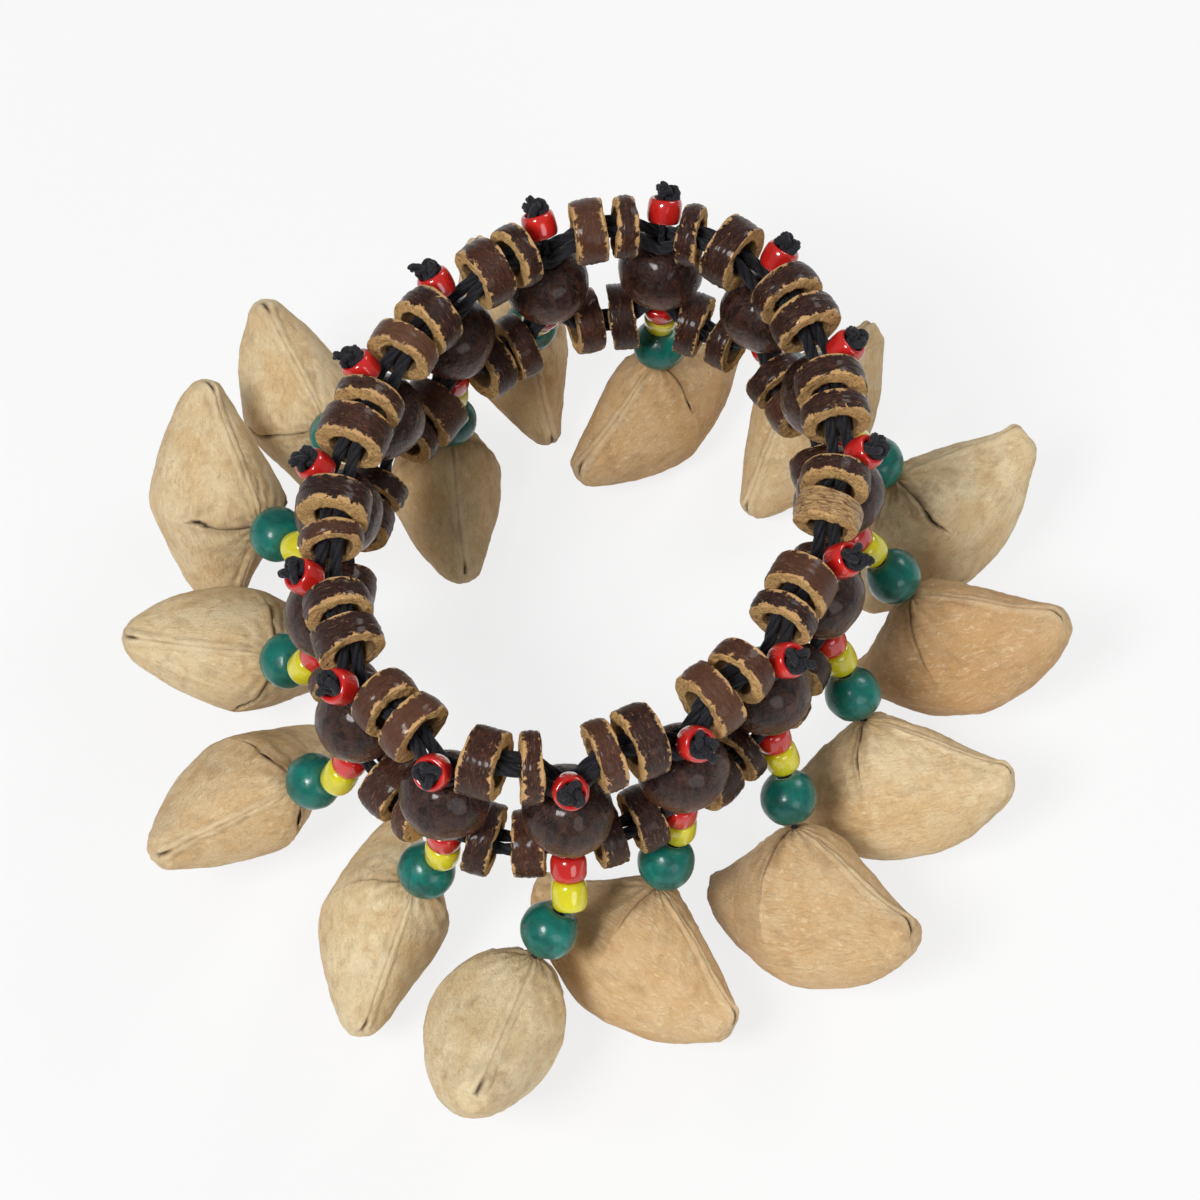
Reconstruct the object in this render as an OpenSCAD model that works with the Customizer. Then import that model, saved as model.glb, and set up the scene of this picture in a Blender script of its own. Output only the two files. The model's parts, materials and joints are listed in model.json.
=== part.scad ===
// Nutshell shaker bracelet: fifteen stations strung on two rows of doubled cord.
// Each station holds a wooden bead between the rows and a nutshell on a beaded drop below it.
// The origin is the middle of the wrist opening, level with the wooden beads.

/* [Band] */
// Long axis of the oval that runs through the wooden bead centres
band_long = 92; // [90:1:104]
// Short axis of that oval
band_short = 68; // [66:1:78]
// Direction of the long axis, in degrees from +X
band_turn = 70; // [0:5:90]
// Height of the row of rings above and below the wooden bead centres, half way between stations
row_rise = 11.7; // [11.6:0.1:12.2]
// How far the rows draw in towards the middle of the band half way between stations
row_in = 1.2; // [0.6:0.1:1.8]

/* [Cords] */
// Thickness of one strand of the doubled row cord
strand_d = 1.3; // [1:0.1:1.4]
// Gap between the two strands, where the station cord passes
strand_gap = 1.3; // [1.2:0.1:1.4]
// Thickness of the station cord and of the drop cord
thread_d = 1; // [0.8:0.1:1.1]
// Length of the cut cord end at each top knot
tail_len = 2.4; // [1:0.2:4]

/* [Wooden beads] */
// Diameter of a wooden bead
wood_d = 12.4; // [11:0.2:12.4]
// Length of a wooden bead along its bore
wood_len = 11.4; // [9.6:0.2:11.6]
// Bore of a wooden bead
wood_bore = 2.4; // [1.6:0.1:3.6]

/* [Coconut rings] */
// Outer diameter of a coconut shell ring of the middle size
ring_d = 10; // [9:0.2:10]
// Width of a ring along the cord, as a mean of the two rings in a pair
ring_len = 4.3; // [3:0.1:4.4]
// Bore of a ring
ring_bore = 5.8; // [5.6:0.1:6.2]
// Chamfer on the outer edges of a ring
ring_edge = 0.6; // [0.2:0.1:0.9]

/* [Glass beads] */
// Diameter of a red glass bead
red_d = 5; // [4.2:0.1:5.4]
// Length of a red glass bead along its bore
red_len = 3.6; // [2.8:0.1:4]
// Diameter of a yellow glass bead
yellow_d = 5; // [4.2:0.1:5.4]
// Length of a yellow glass bead along its bore
yellow_len = 4.2; // [3.4:0.1:4.6]
// Bore of the red, yellow and green beads
bead_bore = 1.7; // [1.4:0.1:2]

/* [Green beads] */
// Diameter of a green wooden bead
green_d = 8; // [6.6:0.2:8.2]
// Length of a green bead along its bore
green_len = 6.8; // [5.6:0.2:7]

/* [Nutshells] */
// Length of a nutshell from tip to tip
nut_len = 36; // [30:0.5:36]
// Height of a nutshell from its cord hole to its keel
nut_h = 23; // [20:0.5:25]
// Thickness of a nutshell across the two tips
nut_t = 19; // [16:0.2:19]
// How far the two tips lie below the cord hole
tip_drop = 13; // [11:0.5:15]
// Radius of the blunt tips
tip_r = 2; // [1.2:0.1:2.2]
// Wall of the shell
nut_wall = 1.5; // [1.2:0.1:2]
// Solid length of shell at each tip, before the hollow
tip_solid = 4; // [3:0.2:6]
// Cord hole through the crown of the shell
nut_bore = 1.8; // [1.4:0.1:2.2]
// Depth of the crease between the two lobes
crease_depth = 0.7; // [0.2:0.1:1]
// Height of the seam ridge
ridge_h = 0.4; // [0.1:0.1:0.8]
// Width of the split in each tip
split_w = 0.6; // [0.4:0.1:1]
// Length of the split from the tip
split_len = 5.4; // [4.2:0.2:7]
// Diameter of the knot that holds the shell from inside
stop_d = 2.6; // [2.4:0.1:3.2]

/* [Fits] */
// Gap between pieces that rest on each other
seat = 0.05; // [0.02:0.01:0.1]
// Gap round a drop where it swings under its yellow bead
swing_gap = 0.3; // [0.2:0.05:0.5]

/* [Hidden] */
// Lean of each drop away from the band, station by station
drop_out = [28, 4, 46, 50, 28, 26, 6, 42, 4, 24, 26, 36, 38, 22, 12];
// Further lean of each nutshell away from the band, at its pivot
nut_out = [0, -4, 4, 6, 4, 4, 6, -12, 8, 10, 6, 4, -2, -4, -16];
// Lean of each drop towards the station before it
drop_side = [0, -6, 28, 32, 35, 32, 20, 31, 28, 24, 20, 14, 16, 6, 0];
// Share of that lean above the pivot, in the beads that hang from the band
sway_share = 0.15;
// Turn of each nutshell on its cord, 0 with its long axis pointing outwards
nut_turn = [0, -35, -20, -40, 5, 20, 20, -15, 15, 0, 10, -5, 20, 10, -35];
// How closely the rows keep to their full height before they dip to a station
row_dip = 6;
// Where the first station lies along the oval, counted in stations from the end of the long axis
first_station = 1.3;
// Lean of the top bead away from the band
top_lean = 40;
// Sideways turn of each ring in degrees, used over and over along the rows
ring_yaw = [2, -4, 1, 4, -3, -1, 3];
// Size of each ring against the middle size, used the same way
ring_size = [1, 0.94, 1.02, 0.98, 0.92];
// Share of a pair's width that its first ring takes, used the same way
pair_share = [0.5, 0.62, 0.42, 0.56, 0.38, 0.6, 0.46];
// Lean of each ring along the cord as it rises from the station
ring_nod = 3;
// Size of each nutshell against the sizes above
nut_size = [0.94, 0.95, 0.97, 1.04, 1, 1, 1, 1.06, 1.02, 1.08, 1.04, 1.03, 1, 0.98, 0.96];
// Lean of the cut end at each knot, and how far it turns from one station to the next
tail_lean = 50;
tail_turn = 40;
// Bend of a shell's roof and keel towards the tips, and how full its lobes are
roof_bow = 0.2;
tip_bow = 6;
keel_bow = 2.2;
lobe_bow = 1.45;
lobe_full = 0.85;
crown_full = 1.2;
keel_full = 0.9;
// Wall of the crown against the wall of the sides
crown_wall = 1.4;
// Knots on the cords, measured in cord thicknesses
knot_loop = 0.75 * thread_d;
knot_r = 0.7 * thread_d;
knot_core = 1.9 * thread_d;
bend_swell = 1.2;
stations = len(drop_out);
strand_out = (strand_gap + strand_d) / 2;
row_low = wood_len / 2 + strand_d / 2 + seat;
bend_rise = row_low + strand_d / 2 + thread_d / 4;
// Steps along the oval and the strands, and sides of the pieces
oval_steps = 180;
row_steps = 6;
row_sides = 6;
nut_sides = 16;
hollow_sides = 8;
bore_sides = 12;
smooth = 48;
// Sections along one half of a shell, from the crease at 0 to the tip at 1
shell_cuts = [0, 0.14, 0.36, 0.58, 0.78, 0.92, 1];
hollow_cuts = [0, 0.4, 0.75, 1];

// Oval through the wooden beads, and places along it measured in millimetres of cord
function oval(t) = let (x = band_long / 2 * cos(t), y = band_short / 2 * sin(t))
    [x * cos(band_turn) - y * sin(band_turn), x * sin(band_turn) + y * cos(band_turn)];
arc = [for (i = 0, s = 0; i <= oval_steps; s = s + norm(oval(360 * (i + 1) / oval_steps)
    - oval(360 * i / oval_steps)), i = i + 1) [s, 360 * i / oval_steps]];
perimeter = arc[oval_steps][0];
pitch = perimeter / stations;
function oval_angle(s) = lookup(s - perimeter * floor(s / perimeter), arc);
function place(s) = oval(oval_angle(s));
function heading(s) = let (t = oval_angle(s))
    band_turn + atan2(band_long * sin(t), band_short * cos(t));
function station_at(k) = (first_station + k) * pitch;
function number(k) = str(k < 9 ? "0" : "", k + 1);

// Height of a row above the wooden beads: low at each station, high between them
function row_lift(f) = 1 - pow(abs(cos(180 * f)), row_dip);
function row_height(f) = row_low + (row_rise - row_low) * row_lift(f);
function row_point(s, up, out) = let (p = place(s), h = heading(s), f = s / pitch - first_station,
    shift = out - row_in * row_lift(f))
    [p[0] + shift * cos(h), p[1] + shift * sin(h), up * row_height(f)];

// Distance from the bend of the station cord to a bead that leans over the strands
red_flat = sqrt(red_d * red_d - red_len * red_len) / 2;
function strand_room(lean, sway) = strand_d / 2 + seat + row_height(red_flat / pitch) - row_low
    + red_flat * sin(abs(sway)) + max(0, strand_out * sin(abs(lean)) - (bend_rise - row_low) * cos(lean));
top_room = strand_room(top_lean, 0);
function collar_drop(k) = strand_room(drop_out[k], drop_side[k] * sway_share);
function pivot_drop(k) = collar_drop(k) + red_len + seat + yellow_len / 2;
green_top = yellow_d / 2 + swing_gap;
crown = green_top + green_len + seat;

module at_station(k) {
    p = place(station_at(k));
    translate([p[0], p[1], 0]) rotate([0, 0, heading(station_at(k))]) children();
}

// Frame of a drop: its upper end is the bend under the lower row, and -Z runs down the drop
module on_drop(k) {
    at_station(k) translate([0, 0, -bend_rise])
        rotate([-drop_side[k] * sway_share, -drop_out[k], 0]) children();
}

// Frame of the swinging part of a drop, with its origin in the middle of the yellow bead
module on_pivot(k) {
    on_drop(k) translate([0, 0, -pivot_drop(k)])
        rotate([-drop_side[k] * (1 - sway_share), -nut_out[k], 0]) children();
}

// Ball with flat ends and a bore
module bead(d, length, bore) {
    rotate_extrude($fn = smooth) difference() {
        intersection() {
            circle(d = d, $fn = smooth);
            translate([0, -length / 2]) square([d / 2, length]);
        }
        translate([0, -length]) square([bore / 2, 2 * length]);
    }
}

// Closed tube of one strand along a row
module strand(up, out) {
    count = stations * row_steps;
    points = [for (i = [0:count - 1]) let (
        s = i * pitch / row_steps + station_at(0),
        c = row_point(s, up, out),
        near = pitch / oval_steps,
        ahead = row_point(s + near, up, out) - row_point(s - near, up, out),
        along = ahead / norm(ahead),
        side = [cos(heading(s)), sin(heading(s)), 0],
        top = cross(side, along))
        for (j = [0:row_sides - 1])
            c + strand_d / 2 * (cos(360 * j / row_sides) * side + sin(360 * j / row_sides) * top)];
    faces = [for (i = [0:count - 1], j = [0:row_sides - 1]) let (
        n = (i + 1) % count * row_sides,
        m = i * row_sides,
        k = (j + 1) % row_sides)
        each [[m + j, m + k, n + k], [m + j, n + k, n + j]]];
    polyhedron(points, faces);
}

module row_cord(up) {
    color("#1c1e28") for (out = [-strand_out, strand_out]) strand(up, out);
}

module coconut_ring(d, wide) {
    rotate_extrude($fn = smooth) polygon([
        [ring_bore / 2, -wide / 2],
        [d / 2 - ring_edge, -wide / 2],
        [d / 2, -wide / 2 + ring_edge],
        [d / 2, wide / 2 - ring_edge],
        [d / 2 - ring_edge, wide / 2],
        [ring_bore / 2, wide / 2]]);
}

// Pair of rings between one station and the next, side by side on the row
module ring_pair(k, up) {
    share = pair_share[(k + up + 1) % len(pair_share)];
    meet = station_at(k) + pitch / 2 + (2 * share - 1) * ring_len;
    near = pitch / oval_steps;
    stretch = 2 * near / norm(row_point(meet + near, up, 0) - row_point(meet - near, up, 0));
    for (half = [-1, 1]) {
        i = 2 * k + half + 3 * up + 4;
        wide = 2 * ring_len * (half < 0 ? share : 1 - share);
        d = ring_d * ring_size[i % len(ring_size)];
        turn = ring_yaw[i % len(ring_yaw)];
        lean = heading(meet + half * wide / 2) + turn - heading(meet);
        s = meet + half * stretch * ((wide + d * (abs(sin(lean)) + sin(ring_nod))) / 2 + 2 * seat);
        ends = row_point(s - wide / 2, up, 0) + row_point(s + wide / 2, up, 0);
        translate(ends / 2) rotate([0, 0, heading(s) + turn])
            rotate([-90 - half * up * ring_nod, 0, 0]) coconut_ring(d, wide);
    }
}

module ring_row(up) {
    color("#4a3630") for (k = [0:stations - 1]) ring_pair(k, up);
}

module wood_beads() {
    color("#422e28") for (k = [0:stations - 1]) at_station(k) bead(wood_d, wood_len, wood_bore);
}

module on_top_bead(k) {
    at_station(k) translate([0, 0, bend_rise]) rotate([0, top_lean, 0])
        translate([0, 0, top_room]) children();
}

module top_beads() {
    color("#e12d28") for (k = [0:stations - 1])
        on_top_bead(k) translate([0, 0, red_len / 2]) bead(red_d, red_len, bead_bore);
}

// Overhand knot that seats on the top bead, with its cut end
module top_knots() {
    color("#1c1e28") for (k = [0:stations - 1]) on_top_bead(k)
        translate([0, 0, red_len + seat + knot_r]) {
            rotate_extrude($fn = smooth) translate([knot_loop, 0]) circle(r = knot_r, $fn = smooth);
            sphere(d = knot_core, $fn = smooth);
            rotate([0, tail_lean, tail_turn * k])
                cylinder(d = thread_d, h = tail_len + thread_d, $fn = smooth);
        }
}

// Cord of a station, from its top knot through the wooden bead to the middle of the yellow bead
module station_cords() {
    color("#1c1e28") for (k = [0:stations - 1]) {
        at_station(k) translate([0, 0, -bend_rise]) {
            cylinder(d = thread_d, h = 2 * bend_rise, $fn = smooth);
            sphere(d = thread_d * bend_swell, $fn = smooth);
            translate([0, 0, 2 * bend_rise]) {
                sphere(d = thread_d * bend_swell, $fn = smooth);
                rotate([0, top_lean, 0])
                    cylinder(d = thread_d, h = top_room + red_len - thread_d / 4, $fn = smooth);
            }
        }
        on_drop(k) translate([0, 0, -pivot_drop(k)]) cylinder(d = thread_d, h = pivot_drop(k), $fn = smooth);
    }
}

module collar_beads() {
    color("#e12d28") for (k = [0:stations - 1]) on_drop(k)
        translate([0, 0, -collar_drop(k) - red_len / 2]) bead(red_d, red_len, bead_bore);
}

module yellow_beads() {
    color("#e8de23") for (k = [0:stations - 1]) on_drop(k)
        translate([0, 0, -pivot_drop(k)]) bead(yellow_d, yellow_len, bead_bore);
}

module green_bead(k) {
    color("#165f52") on_pivot(k) translate([0, 0, -green_top - green_len / 2])
        bead(green_d, green_len, bead_bore);
}

// Cord of a drop, from under the yellow bead to its stop knot inside the nutshell
module drop_cord(k) {
    stop = crown + (ridge_h + 2 * nut_wall) * nut_size[k] + stop_d / 2;
    color("#1c1e28") on_pivot(k) {
        translate([0, 0, -stop]) cylinder(d = thread_d, h = stop - green_top, $fn = smooth);
        translate([0, 0, -stop]) sphere(d = stop_d, $fn = smooth);
    }
}

// Profile of a shell at a share a of the way from the crease to a tip
function roof(a) = -tip_drop * ((1 - roof_bow) * a + roof_bow * a * a) + tip_r * pow(a, tip_bow);
function keel(a) = -nut_h + (nut_h - tip_drop - tip_r) * pow(a, keel_bow);
function half_t(a) = tip_r + (nut_t / 2 - tip_r) * pow(1 - pow(a, lobe_bow), lobe_full)
    - crease_depth * max(0, 1 - a / shell_cuts[1]);

// Cross section of a shell at x, its points set in from the outer face by inset
function shell_section(x, sides, inset) = let (
    a = abs(x) * 2 / nut_len,
    high = roof(a) - ridge_h - crown_wall * inset,
    low = keel(a) + inset,
    wide = half_t(a) - inset,
    mid = (high + low) / 2)
    [for (j = [0:sides - 1]) let (c = cos(360 * j / sides), s = sin(360 * j / sides),
        ridge = 4 * j == sides && inset == 0 ? ridge_h : 0)
        [x, wide * c, s > 0 ? mid + (high - mid) * pow(s, crown_full) + ridge
            : mid - (mid - low) * pow(-s, keel_full)]];

// Solid through a row of sections of equal point count
module loft(rows) {
    sides = len(rows[0]);
    last = (len(rows) - 1) * sides;
    polyhedron([for (r = rows) each r], [
        for (i = [0:len(rows) - 2], j = [0:sides - 1])
            let (m = i * sides, n = m + sides, k = (j + 1) % sides)
                each [[m + j, n + k, m + k], [m + j, n + j, n + k]],
        [for (j = [0:sides - 1]) j],
        [for (j = [sides - 1:-1:0]) last + j]]);
}

function both_ways(cuts, reach) = [
    for (i = [len(cuts) - 1:-1:1]) -cuts[i] * reach,
    for (c = cuts) c * reach];

// Hollow shell of two lobes that meet at a crease under the cord hole, split at both tips
module nutshell(k) {
    color("#dcc7a0") on_pivot(k) translate([0, 0, -crown]) rotate([0, 0, nut_turn[k]]) scale(nut_size[k])
        difference() {
            loft([for (x = both_ways(shell_cuts, nut_len / 2)) shell_section(x, nut_sides, 0)]);
            loft([for (x = both_ways(hollow_cuts, nut_len / 2 - tip_solid))
                shell_section(x, hollow_sides, nut_wall)]);
            translate([0, 0, -nut_h / 2]) cylinder(d = nut_bore, h = nut_h, $fn = bore_sides);
            for (end = [-1, 1]) translate([end * nut_len / 2, 0, -tip_drop])
                cube([2 * split_len, split_w, nut_h], center = true);
        }
}

row_cord(1);  // upper_cord
row_cord(-1);  // lower_cord
ring_row(1);  // upper_rings
ring_row(-1);  // lower_rings
wood_beads();
top_beads();
top_knots();
station_cords();
collar_beads();
yellow_beads();
for (k = [0:stations - 1]) {
    green_bead(k);
    drop_cord(k);
    nutshell(k);
}
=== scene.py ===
"""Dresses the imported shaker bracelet: every piece is rebuilt round the solid it stands for."""
import json
import math
import random

import bmesh
import bpy
import numpy as np
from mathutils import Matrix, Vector, noise


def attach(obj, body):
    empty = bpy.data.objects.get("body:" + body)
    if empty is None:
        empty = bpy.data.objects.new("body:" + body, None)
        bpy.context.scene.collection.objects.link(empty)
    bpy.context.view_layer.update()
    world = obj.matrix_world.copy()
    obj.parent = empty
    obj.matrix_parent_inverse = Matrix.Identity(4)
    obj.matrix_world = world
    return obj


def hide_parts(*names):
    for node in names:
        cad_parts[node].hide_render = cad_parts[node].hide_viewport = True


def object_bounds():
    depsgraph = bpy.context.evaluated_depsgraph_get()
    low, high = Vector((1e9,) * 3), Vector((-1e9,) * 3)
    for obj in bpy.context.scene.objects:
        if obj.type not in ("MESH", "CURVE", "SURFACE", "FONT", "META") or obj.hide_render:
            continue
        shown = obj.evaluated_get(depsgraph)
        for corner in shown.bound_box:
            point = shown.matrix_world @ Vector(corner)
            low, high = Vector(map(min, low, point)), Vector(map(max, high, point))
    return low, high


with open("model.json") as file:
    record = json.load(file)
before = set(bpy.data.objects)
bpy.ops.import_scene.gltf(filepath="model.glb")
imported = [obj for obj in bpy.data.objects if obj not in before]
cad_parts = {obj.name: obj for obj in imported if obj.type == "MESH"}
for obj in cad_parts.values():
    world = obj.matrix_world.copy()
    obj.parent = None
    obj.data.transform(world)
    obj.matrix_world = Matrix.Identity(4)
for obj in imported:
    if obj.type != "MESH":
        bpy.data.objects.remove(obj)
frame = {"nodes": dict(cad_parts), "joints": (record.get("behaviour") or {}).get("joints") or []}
cad_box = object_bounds()
scene = bpy.context.scene
MM = 0.001
WELD = 1e-7
UP, ACROSS = np.array((0.0, 0.0, 1.0)), np.array((1.0, 0.0, 0.0))
TAU = 2 * math.pi


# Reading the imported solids

def unit(v):
    """Vector of length 1 along v."""
    return v / np.linalg.norm(v)


def solids(node):
    """Each separate solid of a CAD node as (centre, axis, points), in millimetres."""
    bm = bmesh.new()
    bm.from_mesh(frame["nodes"][node].data)
    bmesh.ops.remove_doubles(bm, verts=bm.verts, dist=WELD)
    bmesh.ops.triangulate(bm, faces=bm.faces)
    left, found = set(bm.verts), []
    while left:
        group, edge = set(), [left.pop()]
        while edge:
            v = edge.pop()
            group.add(v)
            for e in v.link_edges:
                other = e.other_vert(v)
                if other in left:
                    left.discard(other)
                    edge.append(other)
        faces = {f for v in group for f in v.link_faces}
        tris = np.array([[v.co[:] for v in f.verts] for f in faces]) / MM
        found.append(mass_frame(tris) + (tris.reshape(-1, 3),))
    bm.free()
    return found


def mass_frame(tris):
    """Centre of a closed solid, and the axis that its shape turns about."""
    # Sums over the tetrahedra between one base point and the triangles
    base = tris.reshape(-1, 3).mean(0)
    t = tris - base
    det = np.einsum("ij,ij->i", t[:, 0], np.cross(t[:, 1], t[:, 2]))
    total = t.sum(1)
    centre = (det[:, None] * total).sum(0) / (4 * det.sum())
    pairs = np.einsum("n,nki,nkj->ij", det, t, t) + np.einsum("n,ni,nj->ij", det, total, total)
    values, vectors = np.linalg.eigh(pairs / 20 / det.sum() - np.outer(centre, centre))
    gaps = [abs(values[1] - values[2]), abs(values[0] - values[2]), abs(values[0] - values[1])]
    return base + centre, vectors[:, int(np.argmin(gaps))]


joints = [(np.array(j["pos_m"]) / MM, np.array(j["axis"]), j["child"][-2:]) for j in frame["joints"]]
outward = [np.array((-axis[1], axis[0], 0.0)) for _, axis, _ in joints]


def by_station(node):
    """The node's solids in the order of the stations."""
    left = solids(node)
    flat = np.array([s[0][:2] for s in left])
    return [left[int(np.argmin(np.linalg.norm(flat - pivot[:2], axis=1)))] for pivot, _, _ in joints]


def round_loop(found):
    """Solids of a row in the order in which the cord meets them."""
    return sorted(found, key=lambda s: math.atan2(s[0][1], s[0][0]))


def bead_size(solid):
    """Diameter, length and bore of a bead or ring from its solid."""
    centre, axis, points = solid
    along = (points - centre) @ axis
    radial = np.linalg.norm(points - centre - np.outer(along, axis), axis=1)
    return 2 * radial.max(), np.ptp(along), 2 * radial.min()


# Making meshes

def held(values):
    """Values kept between 0 and 1."""
    return np.clip(values, 0, 1)


def bell(distance, width, power=2):
    """Soft bump that is 1 at no distance and fades over about a width."""
    return np.exp(-(distance / width) ** power)


def fbm(points, scale, octaves, seed):
    """Soft noise of about -1 to 1 at each point, the same on every run."""
    shift = Vector((seed * 7.3, seed * 3.1 + 11.0, seed * 5.7))
    return np.array([noise.fractal(Vector(p) * scale + shift, 1.0, 2.0, octaves) for p in points])


def grid_faces(rows, cols, wrap_rows):
    """Quads of a grid whose columns close on themselves."""
    i, j = np.meshgrid(np.arange(rows if wrap_rows else rows - 1), np.arange(cols), indexing="ij")
    n, k = (i + 1) % rows, (j + 1) % cols
    quads = np.stack([i * cols + j, i * cols + k, n * cols + k, n * cols + j], -1)
    return quads.reshape(-1, 4).tolist()


def frames_along(path, closed, side=None):
    """Tangent and two cross directions at each point of a path."""
    ahead = np.roll(path, -1, 0) - np.roll(path, 1, 0)
    if not closed:
        ahead[0], ahead[-1] = path[1] - path[0], path[-1] - path[-2]
    t = ahead / np.linalg.norm(ahead, axis=1)[:, None]
    if side is None:
        first = np.cross(t[0], UP if abs(t[0][2]) < 0.9 else ACROSS)
        side = [unit(first)]
        for k in range(1, len(path)):
            side.append(unit(side[-1] - t[k] * np.dot(side[-1], t[k])))
        side = np.array(side)
    else:
        side = side - t * np.einsum("ij,ij->i", side, t)[:, None]
        side /= np.linalg.norm(side, axis=1)[:, None]
    return t, side, np.cross(t, side)


def tube(path, radius, sides, closed, side):
    """Round tube along a path, with its ends closed by domes if it is open."""
    radius = np.broadcast_to(np.asarray(radius, float), len(path))
    t, a, b = frames_along(path, closed, side)
    if not closed:
        dome = [(0.6, 0.8), (0.95, 0.3)]
        head = [(path[0] - t[0] * radius[0] * d, radius[0] * r, 0) for d, r in reversed(dome)]
        tail = [(path[-1] + t[-1] * radius[-1] * d, radius[-1] * r, -1) for d, r in dome]
        path = np.vstack([[h[0] for h in head], path, [e[0] for e in tail]])
        radius = np.concatenate([[h[1] for h in head], radius, [e[1] for e in tail]])
        a = np.vstack([[a[0]] * len(dome), a, [a[-1]] * len(dome)])
        b = np.vstack([[b[0]] * len(dome), b, [b[-1]] * len(dome)])
    angle = np.arange(sides) * TAU / sides
    ring = np.cos(angle)[None, :, None] * a[:, None] + np.sin(angle)[None, :, None] * b[:, None]
    verts = (path[:, None] + radius[:, None, None] * ring).reshape(-1, 3)
    faces = grid_faces(len(path), sides, closed)
    if not closed:
        faces += [list(range(sides))[::-1], [len(verts) - sides + k for k in range(sides)]]
    return verts, faces, {}


def plied(path, plies, spread, ply_radius, lay, sides, closed=False, side=None, phase=0.0):
    """Twisted cord: plies that wind round a path once in each length of lay."""
    path = np.asarray(path, float)
    spread = np.broadcast_to(np.asarray(spread, float), len(path))
    _, a, b = frames_along(path, closed, side)
    step = np.linalg.norm(np.diff(path, axis=0), axis=1)
    along = np.concatenate([[0.0], np.cumsum(step)])
    if closed:
        full = along[-1] + np.linalg.norm(path[0] - path[-1])
        lay = full / round(full / lay)
    chunks = []
    for ply in range(plies):
        angle = TAU * (along / lay + ply / plies) + phase
        offset = np.cos(angle)[:, None] * a + np.sin(angle)[:, None] * b
        chunks.append(tube(path + spread[:, None] * offset, ply_radius, sides, closed, side))
    return chunks


def spline(points, steps, closed=False):
    """Smooth curve through points."""
    p = np.asarray(points, float)
    count = len(p) if closed else len(p) - 1
    out = []
    for k in range(count):
        if closed:
            q = [p[(k + d) % len(p)] for d in (-1, 0, 1, 2)]
        else:
            q = [p[min(max(k + d, 0), len(p) - 1)] for d in (-1, 0, 1, 2)]
        for s in np.arange(steps) / steps:
            out.append(0.5 * (2 * q[1] + (q[2] - q[0]) * s + (2 * q[0] - 5 * q[1] + 4 * q[2] - q[3]) * s**2
                              + (3 * q[1] - q[0] - 3 * q[2] + q[3]) * s**3))
    if not closed:
        out.append(p[-1])
    return np.array(out)


def revolve(profile, sides):
    """Closed profile of (radius, height) turned about Z."""
    profile = np.asarray(profile, float)
    angle = np.arange(sides) * TAU / sides
    verts = np.stack([
        profile[:, None, 0] * np.cos(angle)[None], profile[:, None, 0] * np.sin(angle)[None],
        np.broadcast_to(profile[:, None, 1], (len(profile), sides))], -1)
    return verts.reshape(-1, 3), grid_faces(len(profile), sides, True)


def basis(axis, towards=UP):
    """Columns of a frame whose third direction is axis and whose first leans towards a direction."""
    z = unit(np.asarray(axis, float))
    if abs(np.dot(z, towards)) > 0.95:
        towards = ACROSS
    x = unit(towards - z * np.dot(z, towards))
    return np.stack([x, np.cross(z, x), z], 1)


def placed(chunk, centre, turn):
    """A chunk turned and moved from its own frame to its place."""
    verts, faces, marks = chunk
    return verts @ turn.T + centre, faces, marks


def add(name, data):
    """New object in the scene."""
    obj = bpy.data.objects.new(name, data)
    scene.collection.objects.link(obj)
    return obj


def piece(name, chunks, material, body, node):
    """One mesh object made of chunks in millimetres, riding on a body and standing for a CAD node, if any."""
    verts, faces, count = [], [], 0
    names = sorted({k for c in chunks for k in c[2]})
    marks = {k: [] for k in names}
    for points, quads, values in chunks:
        verts.append(points)
        faces += [[i + count for i in f] for f in quads]
        for k in names:
            marks[k].append(np.broadcast_to(values[k], (len(points),) + np.shape(values[k])[1:]))
        count += len(points)
    mesh = bpy.data.meshes.new(name)
    mesh.from_pydata((np.vstack(verts) * MM).tolist(), [], faces)
    for k in names:
        data = np.concatenate(marks[k]).astype(np.float32)
        kind = "FLOAT_VECTOR" if data.ndim == 2 else "FLOAT"
        layer = mesh.attributes.new(k, kind, "POINT")
        layer.data.foreach_set("vector" if data.ndim == 2 else "value", data.ravel())
    mesh.polygons.foreach_set("use_smooth", [True] * len(mesh.polygons))
    mesh.update()
    bm = bmesh.new()
    bm.from_mesh(mesh)
    bmesh.ops.recalc_face_normals(bm, faces=bm.faces)
    bm.to_mesh(mesh)
    bm.free()
    mesh.materials.append(material)
    obj = add(name, mesh)
    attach(obj, body)
    if node:
        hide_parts(node)


# Materials

def colour(r, g, b):
    """Linear colour from 0-255 screen values."""
    parts = [c / 255 / 12.92 if c <= 10 else ((c / 255 + 0.055) / 1.055) ** 2.4 for c in (r, g, b)]
    return (*parts, 1.0)


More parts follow.
